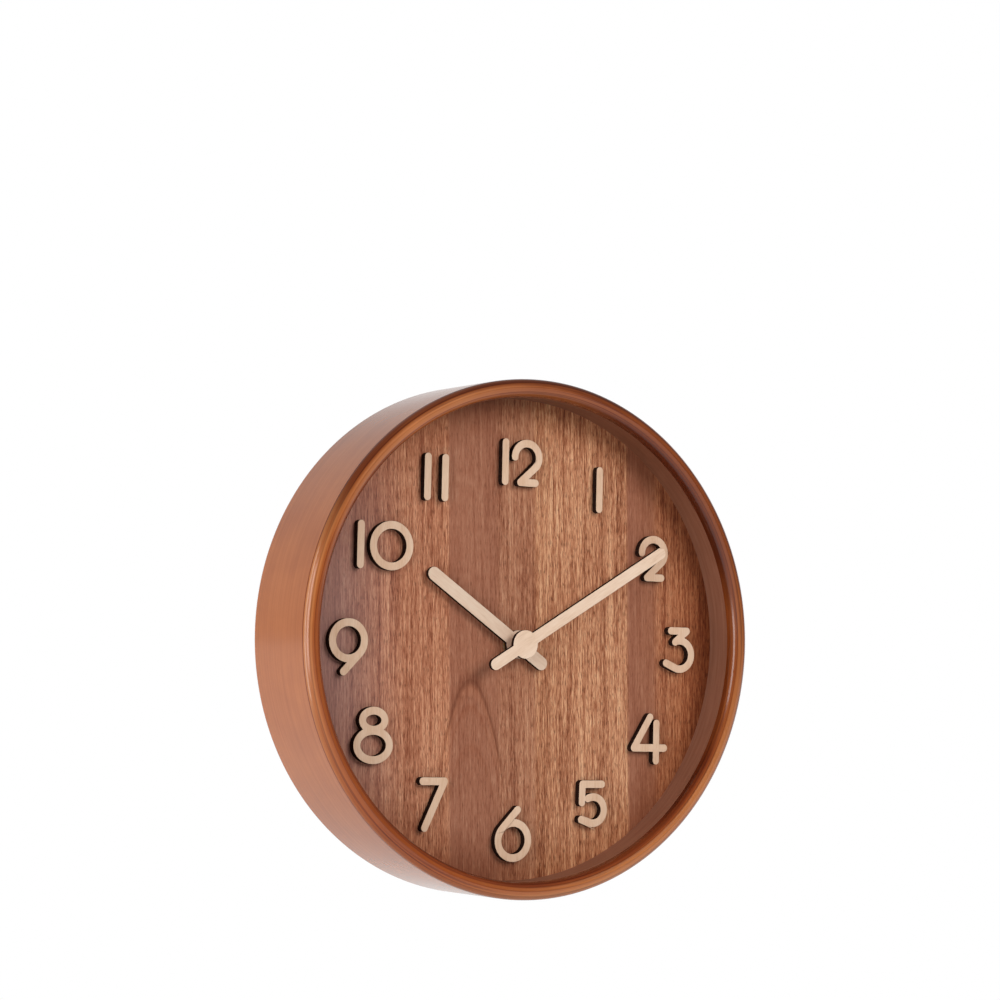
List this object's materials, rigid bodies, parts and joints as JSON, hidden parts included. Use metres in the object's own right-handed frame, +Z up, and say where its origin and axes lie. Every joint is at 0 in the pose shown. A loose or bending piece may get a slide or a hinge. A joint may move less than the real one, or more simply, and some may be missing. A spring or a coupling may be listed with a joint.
{
  "type": "wall clock",
  "caption": "Round wooden wall clock: bent plywood case, recessed walnut dial with raised pale wood figures and hands, battery quartz movement and keyhole hanger behind.",
  "frame": {"origin": "point of the wall where the nail that carries the clock goes in, level with the nail at rest in the top of the hanger slot", "axes": "+X to the right of a person who reads the dial, +Y from the dial into the wall, +Z up"},
  "size_m": [0.22, 0.047, 0.22],
  "materials": {
    "stained_plywood": "satin brown stain on bent plywood",
    "walnut_veneer": "satin walnut veneer, grain upright",
    "pale_beech": "raw pale wood with edges burnt by the cut",
    "brass": "turned brass",
    "zinc_steel": "bright zinc plated steel",
    "black_rubber": "matt rubber",
    "black_plastic": "fine textured black moulding",
    "white_acetal": "moulded off-white acetal",
    "magnet": "sintered magnet",
    "copper_wire": "enamelled copper wire",
    "circuit_board": "green solder mask",
    "cell_wrap": "plain grey film wrap on a steel can"
  },
  "bodies": {
    "clock": {"case_ring": "stained_plywood", "dial_board": "walnut_veneer", "numeral_1": "pale_beech", "numeral_2": "pale_beech", "numeral_3": "pale_beech", "numeral_4": "pale_beech", "numeral_5": "pale_beech", "numeral_6": "pale_beech", "numeral_7": "pale_beech", "numeral_8": "pale_beech", "numeral_9": "pale_beech", "numeral_10_one": "pale_beech", "numeral_10_zero": "pale_beech", "numeral_11_left": "pale_beech", "numeral_11_right": "pale_beech", "numeral_12_one": "pale_beech", "numeral_12_two": "pale_beech", "centre_nut": "brass", "threaded_bush": "brass", "nut_washer": "zinc_steel", "hanger": "zinc_steel", "stator": "zinc_steel", "coil_core": "zinc_steel", "quartz_crystal": "zinc_steel", "positive_contact": "zinc_steel", "negative_contact": "zinc_steel", "gasket": "black_rubber", "movement_case": "black_plastic", "movement_cover": "black_plastic", "circuit_chip": "black_plastic", "coil_bobbin": "white_acetal", "coil_winding": "copper_wire", "circuit_board": "circuit_board"},
    "minute": {"minute_arbor": "zinc_steel", "minute_hand": "pale_beech", "minute_hand_bush": "brass"},
    "hour": {"hour_wheel": "white_acetal", "hour_hand": "pale_beech", "hour_hand_bush": "brass"},
    "reverse": {"reverse_wheel": "white_acetal"},
    "setting": {"setting_stem": "white_acetal", "setting_knob": "black_plastic"},
    "centre": {"centre_wheel": "white_acetal", "clutch_spring": "zinc_steel"},
    "third": {"third_wheel": "white_acetal"},
    "second": {"second_wheel": "white_acetal"},
    "intermediate": {"intermediate_wheel": "white_acetal"},
    "rotor": {"rotor_pinion": "white_acetal", "rotor_magnet": "magnet"},
    "cell": {"battery": "cell_wrap"}
  },
  "joints": [
    {"name": "minute_turn", "type": "hinge", "parent": "clock", "child": "minute", "pos_m": [0, -0.0357, -0.044], "axis": [0, 1, 0], "continuous": true},
    {"name": "hour_turn", "type": "hinge", "parent": "clock", "child": "hour", "pos_m": [0, -0.0312, -0.044], "axis": [0, 1, 0], "continuous": true},
    {"name": "reverse_turn", "type": "hinge", "parent": "clock", "child": "reverse", "pos_m": [0.00985, -0.019, -0.04574], "axis": [0, 1, 0], "continuous": true},
    {"name": "setting_turn", "type": "hinge", "parent": "clock", "child": "setting", "pos_m": [0.01985, -0.0055, -0.04574], "axis": [0, 1, 0], "continuous": true},
    {"name": "rotor_turn", "type": "hinge", "parent": "clock", "child": "rotor", "pos_m": [-0.01803, -0.0112, -0.0335], "axis": [0, 1, 0], "continuous": true},
    {"name": "intermediate_turn", "type": "hinge", "parent": "clock", "child": "intermediate", "pos_m": [-0.01014, -0.0127, -0.03063], "axis": [0, 1, 0], "continuous": true},
    {"name": "second_turn", "type": "hinge", "parent": "clock", "child": "second", "pos_m": [-0.00174, -0.0141, -0.03063], "axis": [0, 1, 0], "continuous": true},
    {"name": "third_turn", "type": "hinge", "parent": "clock", "child": "third", "pos_m": [0.00699, -0.0155, -0.03567], "axis": [0, 1, 0], "continuous": true},
    {"name": "centre_turn", "type": "hinge", "parent": "clock", "child": "centre", "pos_m": [0, -0.0169, -0.044], "axis": [0, 1, 0], "continuous": true},
    {"name": "battery_slide", "type": "slide", "parent": "clock", "child": "cell", "axis": [0, 1, 0], "range_m": [0, 0.03]}
  ],
  "couplings": [
    {"joint": "hour_turn", "follows": "minute_turn", "ratio": 0.083333},
    {"joint": "reverse_turn", "follows": "minute_turn", "ratio": -0.33333},
    {"joint": "setting_turn", "follows": "minute_turn", "ratio": 1},
    {"joint": "intermediate_turn", "follows": "rotor_turn", "ratio": -0.16667},
    {"joint": "second_turn", "follows": "rotor_turn", "ratio": 0.033333},
    {"joint": "third_turn", "follows": "rotor_turn", "ratio": -0.0041667},
    {"joint": "centre_turn", "follows": "rotor_turn", "ratio": 0.00055556}
  ]
}
